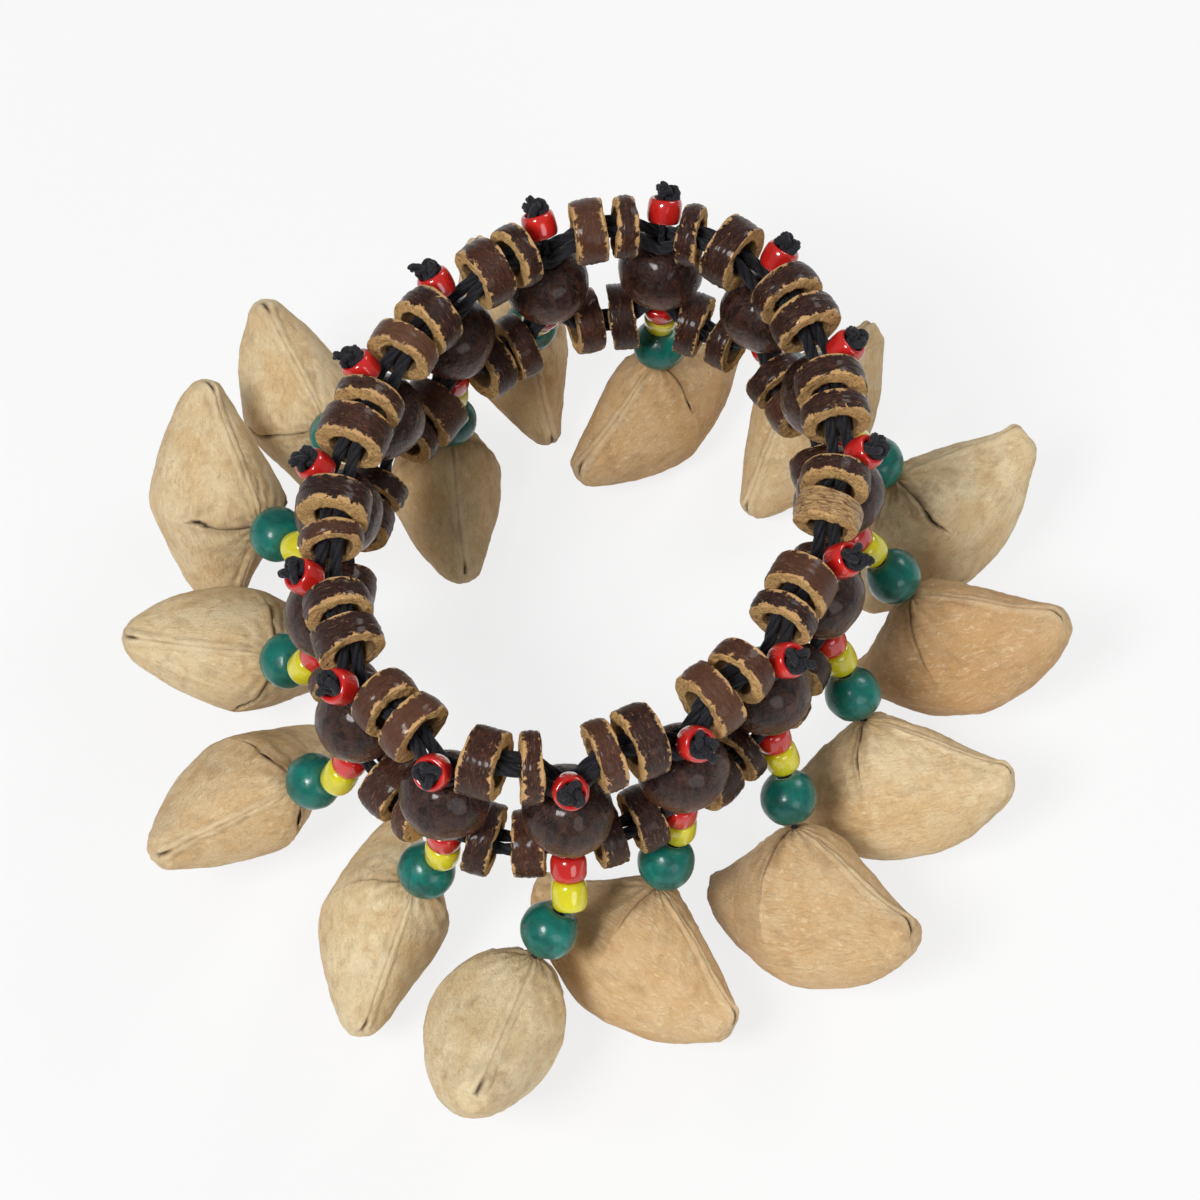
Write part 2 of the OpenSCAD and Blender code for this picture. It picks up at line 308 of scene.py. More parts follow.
class Shader:
    """A Principled material, with short calls that add its nodes."""

    def __init__(self, name, **sockets):
        self.material = bpy.data.materials.new(name)
        self.material.use_nodes = True
        self.tree = self.material.node_tree
        self.bsdf = self.tree.nodes["Principled BSDF"]
        for key, value in sockets.items():
            self.bsdf.inputs[key.replace("_", " ")].default_value = value

    def put(self, socket, value):
        """Links an output to a socket, or sets the socket's own value."""
        if hasattr(value, "is_output"):
            self.tree.links.new(value, socket)
        else:
            socket.default_value = value

    def node(self, kind, inputs, **settings):
        """New node with its settings, and a value or link for each named input."""
        n = self.tree.nodes.new("ShaderNode" + kind)
        for key, value in settings.items():
            setattr(n, key, value)
        for key, value in inputs.items():
            self.put(n.inputs[key], value)
        return n

    def attribute(self, name, vector=False):
        """One of the mesh's marks."""
        n = self.node("Attribute", {}, attribute_name=name)
        return n.outputs["Vector" if vector else "Fac"]

    def place(self):
        """Place on the object, in metres."""
        return self.node("TexCoord", {}).outputs["Object"]

    def stretch(self, vector, scale):
        return self.node("Mapping", {"Vector": vector, "Scale": scale}).outputs["Vector"]

    def noise(self, vector, scale, detail, rough, twist=0.0):
        inputs = {"Vector": vector, "Scale": scale, "Detail": detail, "Roughness": rough,
                  "Distortion": twist}
        return self.node("TexNoise", inputs).outputs["Fac"]

    def span(self, value, low, high, start=0.0, end=1.0):
        """Value mapped from low..high to start..end and held there."""
        inputs = {"Value": value, "From Min": low, "From Max": high, "To Min": start, "To Max": end}
        return self.node("MapRange", inputs).outputs["Result"]

    def math(self, operation, a, b):
        return self.node("Math", {0: a, 1: b}, operation=operation).outputs["Value"]

    def mix(self, amount, a, b):
        """Colour that goes from a to b with the amount."""
        n = self.node("Mix", {}, data_type="RGBA")
        for socket, value in ((n.inputs[0], amount), (n.inputs[6], a), (n.inputs[7], b)):
            self.put(socket, value)
        return n.outputs[2]

    def bump(self, height, strength, distance, under=None):
        """Relief from a height, over the relief under it, if any."""
        inputs = {"Height": height, "Strength": strength, "Distance": distance}
        if under is not None:
            inputs["Normal"] = under
        return self.node("Bump", inputs).outputs["Normal"]

    def finish(self, **sockets):
        """Sets or links sockets of the surface, and gives the material."""
        for key, value in sockets.items():
            self.put(self.bsdf.inputs[key.replace("_", " ")], value)
        return self.material


def nutshell_material():
    """Dry straw-coloured shell with fibres, veins and specks, pale on the seam, with painted shade in its
    creases, grooves, folds and cracks.
    """
    s = Shader("dry_nutshell", Specular_IOR_Level=0.3)
    local = s.attribute("local", True)
    broad = s.noise(local, 0.16, 2.0, 0.5, 0.4)
    patches = s.noise(local, 0.42, 4.0, 0.62, 0.8)
    fibre = s.noise(s.stretch(local, (0.32, 1.5, 1.5)), 1.0, 5.0, 0.7, 1.4)
    veins = s.noise(s.stretch(local, (0.5, 2.6, 2.6)), 1.3, 3.0, 0.6, 2.4)
    specks = s.noise(local, 3.4, 2.0, 0.5)
    tone = s.attribute("tone")
    base = s.mix(s.span(broad, 0.36, 0.66), colour(246, 226, 184), colour(234, 204, 154))
    base = s.mix(s.span(patches, 0.48, 0.72, 0.0, 0.6), base, colour(214, 174, 118))
    # Tanner shells; on the ninth, tenth and last stations part of this is painted shade
    base = s.mix(tone, base, colour(206, 154, 98))
    base = s.mix(s.span(fibre, 0.54, 0.68, 0.0, 0.6), base, colour(250, 234, 194))
    base = s.mix(s.span(fibre, 0.46, 0.34, 0.0, 0.4), base, colour(198, 160, 110))
    base = s.mix(s.span(veins, 0.6, 0.72, 0.0, 0.42), base, colour(160, 120, 76))
    base = s.mix(s.span(specks, 0.66, 0.76, 0.0, 0.35), base, colour(140, 104, 68))
    base = s.mix(s.math("MULTIPLY", s.attribute("ridge"), 0.35), base, colour(244, 226, 188))
    # Painted shade in the crease, the seam's grooves and the folds round the hole, with a little random
    # mottle
    base = s.mix(s.math("MULTIPLY", s.attribute("soil"), 0.6), base, colour(144, 106, 68))
    # Painted shade: near black in the cracks and the open seam at the tips
    base = s.mix(s.attribute("dark"), base, colour(44, 30, 22))
    fine = s.bump(fibre, 0.7, 0.0005)
    fine = s.bump(veins, 0.45, 0.0003, fine)
    rough = s.span(patches, 0.3, 0.75, 0.52, 0.72)
    return s.finish(Base_Color=base, Roughness=rough, Normal=fine)


def coconut_material():
    """Dark polished skin, worn pale along its edges, raw fibrous saw cuts, and a darker bore that is partly
    painted shade.
    """
    s = Shader("coconut_shell", Specular_IOR_Level=0.18, Coat_Roughness=0.14)
    local = s.attribute("local", True)
    tone = s.attribute("tone")
    streak = s.noise(s.stretch(local, (0.7, 0.7, 3.4)), 1.0, 5.0, 0.68, 0.7)
    dashes = s.noise(s.stretch(local, (0.8, 0.8, 7.0)), 1.0, 3.0, 0.6, 0.3)
    grain = s.noise(local, 1.5, 5.0, 0.7, 0.8)
    fibre = s.noise(s.stretch(local, (2.4, 2.4, 1.1)), 1.0, 4.0, 0.7, 1.6)
    skin = s.mix(s.span(grain, 0.38, 0.62), colour(27, 12, 9), colour(72, 38, 26))
    skin = s.mix(s.span(tone, 0.5, 0.0, 0.0, 0.7), skin, colour(32, 17, 15))
    skin = s.mix(s.span(streak, 0.54, 0.7, 0.0, 0.55), skin, colour(118, 74, 48))
    skin = s.mix(s.span(dashes, 0.64, 0.7, 0.0, 0.8), skin, colour(176, 138, 94))
    skin = s.mix(s.span(tone, 0.4, 0.8, 0.0, 0.5), skin, colour(112, 72, 51))
    pale = s.mix(s.span(streak, 0.4, 0.6), colour(120, 82, 54), colour(206, 170, 116))
    skin = s.mix(s.span(tone, 0.84, 0.9, 0.0, 0.9), skin, pale)
    uneven = s.span(s.noise(local, 0.5, 2.0, 0.5, 0.6), 0.4, 0.6, 0.25, 1.35)
    worn = s.math("MULTIPLY", s.attribute("edge"), uneven)
    worn = s.math("ADD", worn, s.math("MULTIPLY", s.math("SUBTRACT", grain, 0.5), 1.7))
    skin = s.mix(s.span(worn, 0.4, 0.56, 0.0, 0.95), skin, colour(206, 162, 108))
    face = s.mix(s.span(fibre, 0.34, 0.58), colour(160, 112, 66), colour(232, 192, 130))
    face = s.mix(s.span(grain, 0.54, 0.68, 0.0, 0.85), face, colour(72, 45, 30))
    cut = s.math("ADD", s.attribute("cut"), s.math("MULTIPLY", s.math("SUBTRACT", grain, 0.5), 0.9))
    ragged = s.span(cut, 0.42, 0.58)
    base = s.mix(ragged, skin, face)
    # Darker inside the bore: partly the brown of the raw fibre and partly painted shade
    base = s.mix(s.math("MULTIPLY", s.attribute("bore"), 0.7), base, colour(62, 40, 28))
    rough = s.math("ADD", s.span(ragged, 0.0, 1.0, 0.22, 0.75), s.span(streak, 0.3, 0.7, 0.0, 0.2))
    height = s.math("ADD", s.math("MULTIPLY", streak, s.span(ragged, 0.0, 1.0, 0.6, 0.0)),
                    s.math("MULTIPLY", fibre, s.span(ragged, 0.0, 1.0, 0.1, 1.0)))
    coat = s.span(ragged, 0.0, 0.6, 0.22, 0.0)
    return s.finish(Base_Color=base, Roughness=rough, Normal=s.bump(height, 0.7, 0.0006), Coat_Weight=coat)


def wood_material():
    """Dark polished wood, redder towards its foot, with painted shade inside the bore."""
    s = Shader("dark_wood", Specular_IOR_Level=0.2, Coat_Weight=0.32, Coat_Roughness=0.12)
    local = s.attribute("local", True)
    grain = s.noise(s.stretch(local, (0.9, 0.9, 0.16)), 1.0, 5.0, 0.68, 0.6)
    fine = s.noise(s.stretch(local, (3.2, 3.2, 0.5)), 1.0, 4.0, 0.65, 0.5)
    dents = s.noise(local, 0.75, 4.0, 0.6, 0.8)
    low = s.span(s.attribute("height"), 0.3, -0.7)
    base = s.mix(s.span(grain, 0.38, 0.62), colour(22, 11, 9), colour(66, 38, 28))
    base = s.mix(s.math("MULTIPLY", low, s.span(grain, 0.3, 0.6, 0.2, 0.8)), base, colour(124, 62, 28))
    base = s.mix(s.span(dents, 0.56, 0.7, 0.0, 0.5), base, colour(92, 58, 42))
    base = s.mix(s.span(fine, 0.56, 0.7, 0.0, 0.6), base, colour(28, 19, 18))
    # Painted shade: near black inside the bore
    base = s.mix(s.attribute("bore"), base, colour(22, 15, 14))
    rough = s.span(dents, 0.35, 0.7, 0.2, 0.4)
    rise = s.bump(dents, 0.55, 0.0009)
    return s.finish(Base_Color=base, Roughness=rough, Normal=s.bump(fine, 0.5, 0.0003, rise))


def glass_material(name, light, deep):
    """Opaque glass, clouded from a light to a deep colour."""
    s = Shader(name, Roughness=0.14, Specular_IOR_Level=0.55, Coat_Weight=0.6, Coat_Roughness=0.06)
    place = s.place()
    clouds = s.noise(place, 260.0, 3.0, 0.6, 0.5)
    swell = s.noise(place, 480.0, 2.0, 0.5)
    base = s.mix(s.span(clouds, 0.35, 0.7), light, deep)
    return s.finish(Base_Color=base, Normal=s.bump(swell, 0.12, 0.0002))


def paint_material():
    """Green paint over wood grain, thin at the rims of the bore."""
    s = Shader("green_paint", Specular_IOR_Level=0.3, Coat_Weight=0.25, Coat_Roughness=0.14)
    place = s.place()
    grain = s.noise(s.stretch(place, (520.0, 520.0, 240.0)), 1.0, 4.0, 0.65, 0.9)
    patches = s.noise(place, 190.0, 4.0, 0.6, 0.7)
    base = s.mix(s.span(patches, 0.34, 0.68), colour(10, 78, 70), colour(24, 124, 111))
    base = s.mix(s.span(grain, 0.54, 0.7, 0.0, 0.5), base, colour(6, 44, 43))
    base = s.mix(s.math("MULTIPLY", s.attribute("rim"), s.span(grain, 0.4, 0.6)), base, colour(92, 122, 88))
    rough = s.span(grain, 0.3, 0.7, 0.2, 0.42)
    return s.finish(Base_Color=base, Roughness=rough, Normal=s.bump(grain, 0.3, 0.0003))


def cord_material():
    """Black cord with patches of wax."""
    s = Shader("waxed_cord", Specular_IOR_Level=0.3, Sheen_Weight=0.1, Sheen_Roughness=0.5)
    place = s.place()
    fluff = s.noise(place, 2600.0, 4.0, 0.7, 0.4)
    wax = s.noise(place, 700.0, 3.0, 0.6, 0.6)
    base = s.mix(s.span(fluff, 0.36, 0.68), colour(11, 11, 16), colour(30, 31, 41))
    base = s.mix(s.span(wax, 0.6, 0.74, 0.0, 0.4), base, colour(58, 60, 72))
    rough = s.span(wax, 0.35, 0.7, 0.5, 0.78)
    return s.finish(Base_Color=base, Roughness=rough, Normal=s.bump(fluff, 0.7, 0.0002))


def thread_material():
    """Lime green sewing thread."""
    s = Shader("lime_thread", Roughness=0.6, Sheen_Weight=0.2)
    fluff = s.noise(s.place(), 3200.0, 3.0, 0.6, 0.4)
    base = s.mix(s.span(fluff, 0.35, 0.7), colour(176, 188, 40), colour(120, 140, 30))
    return s.finish(Base_Color=base, Normal=s.bump(fluff, 0.5, 0.0002))


# Nutshells

# Share of a shell's height that its roof falls to the tips, and of its length that a tip is thick
NUT_DROP, NUT_TIP = 0.565, 0.055
# Points from tip to tip and round the shell, and how near the first and last come to the tips
NUT_STEPS, NUT_SIDES, NUT_END = 130, 105, 0.997
# How tanned each station's shell is, from pale straw at 0; the higher values at the ninth, tenth and last
# stations are partly painted shade
NUT_TAN_AND_SHADE = (0.35, 0.3, 0.1, 0.12, 0.05, 0.3, 0.0, 0.0, 0.5, 0.5, 0.2, 0.7, 0.0, 0.25, 0.6)


def spaced(low, high, count, spots):
    """Places from low to high, closer together round each (place, width, weight) spot."""
    fine = np.linspace(low, high, 4000)
    weight = np.ones_like(fine)
    for place, width, extra in spots:
        weight += extra * bell(fine - place, width)
    total = np.concatenate([[0.0], np.cumsum((weight[1:] + weight[:-1]) / 2)])
    return np.interp(np.linspace(0, total[-1], count), total, fine)


def nut_chunk(long, wide, high, seed, tan_and_shade):
    """One two-lobed shell in its own frame: X to the tips, Z up the cord, the cord hole at the origin."""
    rng = random.Random(seed)
    drop, tip = high * NUT_DROP, long * NUT_TIP
    lip = tip * rng.uniform(0.8, 1.1)
    u = spaced(-NUT_END, NUT_END, NUT_STEPS, [(0, 0.05, 4.5), (-1, 0.1, 2.5), (1, 0.1, 2.5)])
    turn = spaced(0, 360, NUT_SIDES, [(90, 9, 5.0), (270, 8, 2.5)])[:-1]
    a, th = np.abs(u)[:, None], np.radians(turn)[None]
    lobe = np.where(u < 0, rng.uniform(0.97, 1.0), rng.uniform(0.97, 1.0))[:, None]
    roof = -drop * (0.8 * a + 0.2 * a**2) + tip * a**6
    keel = -high + (high - drop - tip) * a**2.2
    half = lip + (wide / 2 - lip) * (1 - a ** rng.uniform(1.14, 1.42)) ** 0.92
    cap = np.sqrt(held(1 - held((a - 0.95) / 0.05) ** 2))
    mid = (roof + keel) / 2
    s, c = np.sin(th), np.cos(th)
    x = np.broadcast_to(u[:, None] * lobe * long / 2, (len(u), len(turn)))
    y = half * cap * c
    z = mid + cap * np.where(s > 0, (roof - mid) * np.abs(s) ** 1.2, -(mid - keel) * np.abs(s) ** 0.9)
    points = np.stack([x, y, z], -1)
    flat = points.reshape(-1, 3)
    across = np.gradient(points, axis=0)
    around = np.roll(points, -1, 1) - np.roll(points, 1, 1)
    normal = np.cross(around, across)
    normal /= np.maximum(np.linalg.norm(normal, axis=-1), 1e-9)[..., None]
    shape = x.shape
    wob = fbm(flat, 0.11, 2, seed).reshape(shape)
    ripple = fbm(flat * (0.35, 1.0, 1.0), 0.75, 3, seed + 0.3).reshape(shape)
    fibre = fbm(flat * (0.3, 1.3, 1.3), 1.3, 2, seed + 0.7).reshape(shape)
    upper = held(s) * np.ones(shape)
    lower = held(-s) * np.ones(shape)
    end = held((a - 0.78) / 0.2) * np.ones(shape)

    # Seam ridge, with a fine line down its middle and a groove along each side, that opens at the tips
    drift = 0.5 * np.sin(3.1 * u + rng.uniform(0, 6))[:, None] * (1 - a) * rng.uniform(0.3, 1.0)
    off = y - drift
    width = 0.6 + 0.45 * a
    gape = np.where(u < 0, rng.uniform(0.06, 0.2), rng.uniform(0.06, 0.2))[:, None]
    rise = (0.14 + 0.28 * a) * held(a * 6 - 0.25)
    ridge = bell(off, width, 4) * np.where(s > 0, 1.0, 0.45)
    groove = bell(np.abs(off) - 1.3 * width, 0.22) * upper * held(a * 5 - 0.6)
    line = bell(off, 0.16) * np.where(s > 0, 1.0, 0.3)
    mouth = bell(off, gape + 0.1 * end) * held((a - 0.92) / 0.06)
    mouth *= held(s * 3 + 1.6)

    # Crease between the lobes, cracked open for part of its length on each side, and folds round the hole
    bend = 0.55 * np.sin(z * 0.45 + rng.uniform(0, 6)) + 0.3 * np.sin(z * 1.1 + rng.uniform(0, 6))
    from_crease = x - bend * held(-z / 6)
    from_hole = np.sqrt(x**2 + y**2 + z**2)
    reach = np.where(y > 0, rng.uniform(9, 15), rng.uniform(8, 14))
    open_part = held((reach - from_hole) / 6)
    crack = bell(from_crease, 0.18 + 0.22 * open_part) * held(3 * open_part)
    valley = bell(from_crease, 2.2) * held(1 + z / (0.8 * high))
    bearing = np.arctan2(y, x)
    folds = np.sin(bearing * 13 + 4 * wob + 2.2 * ripple) * bell(from_hole - 5, 5.0)
    folds += np.sin(x * 2.6 + 3.5 * wob) * bell(from_crease, 4.5) * 0.5 * upper

    # Relief in millimetres, and the marks that colour it
    lift = (0.46 * wob + 0.11 * ripple + 0.05 * fibre + 0.17 * folds * held(1 - a * 1.2)
            + rise * ridge - 0.1 * line * held(a * 8) - 0.07 * groove - 0.8 * mouth
            - 0.45 * valley - 0.75 * crack - 0.12 * lower * bell(y, 0.5)
            + 0.2 * end * ridge)
    points = points + normal * (lift * np.clip(cap, 0.25, 1))[..., None]
    local = points + seed * np.array((31.0, 17.0, 11.0))
    # Painted shade inside the cracks and the open seam at the tips
    dark = held(1.25 * crack**1.5 + 0.85 * mouth**1.4)
    # Painted shade: darker in the crease between the lobes, along the seam's line and grooves and in the
    # folds round the hole, plus a little random mottle
    soil = held(0.9 * valley**2 * held(1.5 - from_hole / 10) + 0.35 * line * held(a * 8)
                + 0.14 * groove + 0.5 * held(-folds) * held(1 - from_hole / 13)
                + np.clip(ripple * wob * 2, 0, 0.4))
    marks = {
        "local": local.reshape(-1, 3), "dark": dark.ravel(), "soil": soil.ravel(),
        "ridge": held(ridge * held(a * 5 - 0.3) * (1 - line * 0.6) + 0.4 * end).ravel(),
        "tone": np.full(flat.shape[0], tan_and_shade)}
    rows, cols = shape
    faces = grid_faces(rows, cols, False)
    faces += [list(range(cols))[::-1], [(rows - 1) * cols + k for k in range(cols)]]
    return points.reshape(-1, 3), faces, marks


def nut_frame(name, pivot, bead):
    """Frame of a shell from its solid: origin at the cord hole, X to the tips, and its three sizes."""
    _, _, points = solids(name)[0]
    z = unit(pivot - bead)
    flat = points - pivot
    spread = flat - np.outer(flat @ z, z)
    middle = spread.mean(0)
    _, vectors = np.linalg.eigh(np.cov((spread - middle).T))
    x = vectors[:, 2]
    y = np.cross(z, x)
    crown = (flat @ z).max()
    size = [np.ptp(flat @ x), np.ptp(flat @ y), np.ptp(flat @ z)]
    return pivot + z * crown, np.stack([x, y, z], 1), size


# Beads and rings

def bead_profile(radius, half, bore, edge, steps=18):
    """Closed outline of a bored ball with flat ends and rounded bore edges."""
    top = math.asin(min(half / radius, 1.0))
    outer = [(radius * math.cos(t), radius * math.sin(t)) for t in np.linspace(-top, top, steps)]
    flat = outer[-1][0]
    quarter = np.linspace(0, math.pi / 2, 5)
    lip = [(bore + edge * (1 - math.sin(t)), half - edge * (1 - math.cos(t))) for t in quarter]
    lip = [p for p in lip if p[0] < flat]
    wall = [(bore, h) for h in np.linspace(half - edge, edge - half, 6)[1:-1]]
    return outer + lip + wall + [(r, -h) for r, h in reversed(lip)]


def donut_profile(radius, half, bore, power=2.6, steps=30):
    """Closed outline of a moulded glass bead, round all over."""
    middle, wide = (radius + bore) / 2, (radius - bore) / 2
    out = []
    for t in np.arange(steps) * TAU / steps:
        c, s = math.cos(t), math.sin(t)
        out.append((middle + wide * math.copysign(abs(c) ** (2 / power), c),
                    half * math.copysign(abs(s) ** (2 / power), s)))
    return out


def bead_chunk(size, bore, edge, seed, sides, rough):
    """One bead of (diameter, length), slightly uneven, with marks for its bore, rim and height."""
    radius, half = size[0] / 2, size[1] / 2
    profile = bead_profile(radius, half, bore, edge) if edge else donut_profile(radius, half, bore)
    verts, faces = revolve(profile, sides)
    ring = np.hypot(verts[:, 0], verts[:, 1])
    lift = rough * fbm(verts, 0.9 / radius, 2, seed) + 0.3 * rough * fbm(verts, 3.2 / radius, 3, seed + 0.5)
    verts = verts * (1 + lift / radius)[:, None]
    inner = held((bore + 0.3 - ring) / 0.3)
    rim = held(1 - (ring - bore) / 1.8)
    marks = {"local": verts + seed * np.array((13.0, 29.0, 7.0)), "bore": inner,
             "rim": rim, "height": verts[:, 2] / half}
    return verts, faces, marks


def ring_chunk(outer, bore, length, seed, wear, dark, sides=72, bevel=0.25):
    """One ring of coconut shell: a worn skin outside, and rough slanting saw cuts and bore."""
    rng = random.Random(seed)
    half, crown, worn = length / 2, rng.uniform(0.05, 0.3), rng.uniform(0.18, 0.4)
    skin = [(outer - crown * (t * t), t * (half - worn)) for t in np.linspace(-1, 1, 13)]
    corner = np.linspace(0, math.pi / 2, 5)[1:]
    top = [(skin[-1][0] - worn * (1 - math.cos(t)), half - worn + worn * math.sin(t)) for t in corner]
    face = [(r, half) for r in np.linspace(top[-1][0], bore + bevel, 7)[1:]]
    lip = [(bore + 0.08, half - 0.08), (bore, half - bevel)]
    wall = [(bore, h) for h in np.linspace(half - bevel, bevel - half, 6)[1:-1]]
    profile = skin + top + face + lip + wall + [(r, -h) for r, h in reversed(top + face + lip)]
    fade = [0.35, 0.7, 1.0, 1.0]
    sawn = 2 * (len(face) + len(lip)) + len(wall)
    cuts = [0.0] * len(skin) + fade + [1.0] * sawn + fade[::-1]
    verts, faces = revolve(profile, sides)
    cut = np.repeat(cuts, sides)
    radial = np.hypot(verts[:, 0], verts[:, 1])
    bearing = np.arctan2(verts[:, 1], verts[:, 0])
    cos, sin = np.cos(bearing), np.sin(bearing)
    swell = fbm(verts, 0.16, 2, seed)
    rough = fbm(verts * (1.0, 1.0, 1.6), 1.1, 3, seed + 0.4)
    scratch = fbm(np.stack([cos * 1.2, sin * 1.2, verts[:, 2] * 2.4], 1), 1.0, 3, seed + 0.8)
    out = np.stack([cos, sin, np.zeros_like(bearing)], 1)
    skinny = (cut < 0.2).astype(float)
    edge = np.exp(-np.clip(half - np.abs(verts[:, 2]) - worn, 0, None) / 0.5) * wear
    inside = (radial < bore + 0.2).astype(float)
    push = 0.2 * swell + skinny * 0.13 * scratch + (1 - skinny) * 0.08 * rough
    push -= inside * 0.25 * np.abs(rough)
    verts = verts + out * push[:, None]

    # Ragged, chipped and slanting saw cuts, and a bore off its middle
    faced = held((np.abs(verts[:, 2]) - half + 0.3) / 0.3)
    wave = fbm(np.stack([cos, sin, np.sign(verts[:, 2])], 1), 1.6, 3, seed + 1.6)
    verts[:, 2] -= np.sign(verts[:, 2]) * faced * np.clip(0.14 + 0.2 * rough + 0.3 * wave, 0, 0.6)
    chip = bell(bearing - rng.uniform(-3, 3), 0.3) * (rng.random() < 0.5)
    verts[:, 2] -= np.sign(verts[:, 2]) * faced * 0.5 * chip * held((bore + 1.2 - radial) / 0.8)
    for side in (-1, 1):
        slant, way = rng.uniform(0.0, 0.4), rng.uniform(-math.pi, math.pi)
        verts[:, 2] *= 1 - (verts[:, 2] * side > 0) * slant * (0.5 + 0.5 * np.cos(bearing - way))
    inner, way = held((outer - radial) / (outer - bore)), rng.uniform(-math.pi, math.pi)
    verts[:, :2] += inner[:, None] * 0.32 * np.array((math.cos(way), math.sin(way)))
    marks = {"local": verts + seed * np.array((19.0, 5.0, 23.0)), "cut": cut, "edge": edge,
             "bore": inside, "tone": np.full(len(verts), rng.random() * dark)}
    return verts, faces, marks


# Cords

def knot_chunks(centre, turn, cord, spin, tail_end):
    """Overhand knot pulled tight, with its cut end."""
    t = np.linspace(0, TAU, 70)
    loop = np.stack([np.sin(t) + 2 * np.sin(2 * t), np.cos(t) - 2 * np.cos(2 * t),
                     -1.5 * np.sin(3 * t)], 1)
    spun = np.array(((math.cos(spin), -math.sin(spin), 0), (math.sin(spin), math.cos(spin), 0), (0, 0, 1)))
    path = (loop * cord * (0.44, 0.44, 0.5)) @ spun.T @ turn.T + centre
    lumps = plied(path, 3, cord * 0.2, cord * 0.32, 2.4, 6)
    core = unit(tail_end - centre)
    side = unit(np.cross(core, turn[:, 2]) + 0.01)
    reach = np.linalg.norm(tail_end - centre) * (0.72 + 0.2 * math.sin(3 * spin))
    bent = [centre + core * reach * f * (1 - 0.25 * f) + side * cord * 1.1 * f * f * math.sin(spin * 1.9)
            for f in np.linspace(0.1, 1, 6)]
    end = spline(bent, 4)
    lumps += plied(end, 3, np.linspace(0.2, 0.3, len(end)) * cord, cord * 0.3, 2.2, 6)
    return lumps


def thin_cord(path):
    """The cord of the stations and drops."""
    return plied(path, plies=3, spread=0.26, ply_radius=0.27, lay=3.2, sides=6)


# Band

nut_look, coconut_look, wood_look = nutshell_material(), coconut_material(), wood_material()
red_look = glass_material("red_glass", colour(206, 36, 32), colour(178, 26, 25))
yellow_look = glass_material("yellow_glass", colour(222, 214, 34), colour(202, 190, 22))
green_look, cord_look, thread_look = paint_material(), cord_material(), thread_material()

woods, tops, collars, yellows, knots = (
    by_station(node) for node in ("wood_beads", "top_beads", "collar_beads", "yellow_beads", "top_knots"))


def bead_row(name, found, look, bore, edge, sides, rough):
    """The beads of all stations as one piece, each on its own solid."""
    chunks = []
    for k, solid in enumerate(found):
        axis = solid[1] * np.sign(solid[1][2] or 1.0)
        chunk = bead_chunk(bead_size(solid), bore, edge, k + 1 + len(name), sides, rough)
        chunks.append(placed(chunk, solid[0], basis(axis, outward[k])))
    piece(name, chunks, look, "band", name)


bead_row("wood_beads", woods, wood_look, bore=1.2, edge=0.5, sides=72, rough=0.34)
for name, found, look, slot, bore in (("top_beads", tops, red_look, "red_glass", 1.3),
                                      ("collar_beads", collars, red_look, "red_glass", 0.8),
                                      ("yellow_beads", yellows, yellow_look, "yellow_glass", 0.8)):
    bead_row(name, found, look, bore, edge=0, sides=40, rough=0.05)

# How much narrower a ring's bore starts before it is roughened
BORE_TRIM = 0.1
# How far a row's cord passes over a wooden bead, and half the gap between its two strands,
# which grows by LANE_MORE within about LANE_NEAR of a wooden bead
CORD_OVER, LANE, LANE_MORE, LANE_NEAR = 0.95, 0.98, 0.5, 2.4

# The upper row is paler at its edges, and lighter in its skin, than the lower row
for row, sign, first_seed, wear, tone in (("upper", 1, 1, 0.78, 1.0), ("lower", -1, 101, 0.5, 0.6)):
    rings = round_loop(solids(row + "_rings"))
    chunks = []
    for k, ring in enumerate(rings):
        wide, length, bore = bead_size(ring)
        chunk = ring_chunk(wide / 2, bore / 2 - BORE_TRIM, length, first_seed + k, wear, tone)
        chunks.append(placed(chunk, ring[0], basis(ring[1])))
    piece(row + "_rings", chunks, coconut_look, "band", row + "_rings")

    # The row's cord dips to each wooden bead and rises through the two rings after it
    level = sign * (bead_size(woods[0])[1] / 2 + CORD_OVER)
    spots = [ring[0] for ring in rings] + [np.array((w[0][0], w[0][1], level)) for w in woods]
    path = spline(sorted(spots, key=lambda p: math.atan2(p[1], p[0])), 12, closed=True)
    _, side, _ = frames_along(path, True, path * (1, 1, 0))
    near = np.min([np.linalg.norm(path[:, :2] - w[0][:2], axis=1) for w in woods], axis=0)
    apart = LANE + LANE_MORE * bell(near, LANE_NEAR)
    chunks = []
    for hand in (-1, 1):
        lane = path + side * (hand * apart)[:, None]
        chunks += plied(lane, plies=4, spread=0.5, ply_radius=0.42, lay=11.0, sides=7, closed=True,
                        side=side, phase=hand)
    piece(row + "_cord", chunks, cord_look, "band", row + "_cord")

# Where a station's cord bends past its wooden bead, half its straight run inside, and its end in the top bead
BEND, STRAIGHT, TOP_END = 1.6, 4, 1.9
# Rise of a top knot over its bead, the thickness of its cord, and its turn from one station to the next
KNOT_RISE, TOP_KNOT, TOP_SPIN = 0.5, 1.15, 2.4
# Thread round the foot of a wooden bead
RIM_RADIUS, RIM_GAP = 2.5, 0.02

